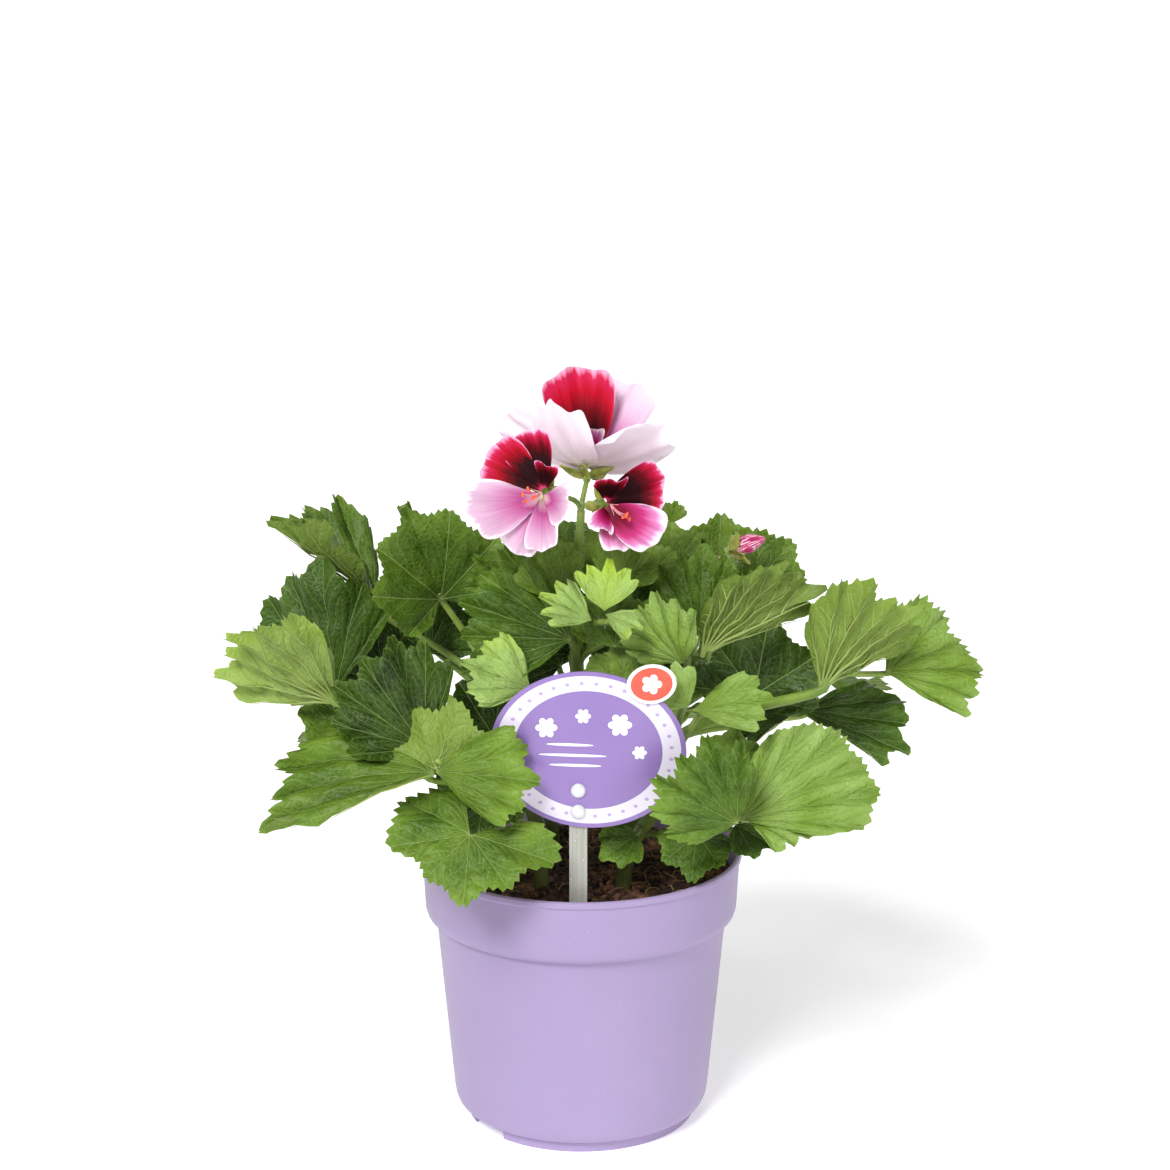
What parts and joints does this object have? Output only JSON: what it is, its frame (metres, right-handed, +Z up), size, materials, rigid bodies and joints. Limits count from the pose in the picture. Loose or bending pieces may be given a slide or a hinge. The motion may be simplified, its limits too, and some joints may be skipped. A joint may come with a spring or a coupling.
{
  "type": "potted regal pelargonium",
  "caption": "Young regal pelargonium in bloom in a lilac plastic grower's pot, with an oval care card on a clear stake.",
  "frame": {"origin": "centre of the pot's underside, on the surface the pot stands on", "axes": "+Z up along the pot's axis; the pictured side, with the care card, faces -Y; +X is to the viewer's right"},
  "size_m": [0.3082, 0.2008, 0.3096],
  "materials": {
    "lilac_plastic": "injection-moulded, satin",
    "peat": "damp peat compost",
    "card": null,
    "clear_plastic": "frosted clear plastic",
    "red_label": "glossy label, plain",
    "leaf_green": "living leaf, finely hairy",
    "stalk_green": "living stalk, hairy",
    "upper_petal": "petal, velvety burgundy to red",
    "lower_petal": "petal, pale pink",
    "stamen": "orange anthers on red filaments",
    "bud": "rolled petals, deep pink"
  },
  "bodies": {
    "root": {"pot": "lilac_plastic", "soil": "peat", "tag_card": "card", "tag_stake": "clear_plastic", "tag_sticker": "red_label", "leafy_shoot_left": "leaf_green", "leafy_shoot_front_left": "leaf_green", "leafy_shoot_centre": "leaf_green", "leafy_shoot_right": "leaf_green", "leafy_shoot_front_right": "leaf_green", "leafy_shoot_back_right": "leaf_green", "leafy_shoot_back_left": "leaf_green", "flower_truss": "stalk_green", "bloom_top_upper_petals": "upper_petal", "bloom_top_lower_petals": "lower_petal", "bloom_top_stamens": "stamen", "bloom_left_upper_petals": "upper_petal", "bloom_left_lower_petals": "lower_petal", "bloom_left_stamens": "stamen", "bloom_right_upper_petals": "upper_petal", "bloom_right_lower_petals": "lower_petal", "bloom_right_stamens": "stamen", "bud_truss": "stalk_green", "bud_open": "bud", "bud_small": "bud"}
  },
  "joints": []
}
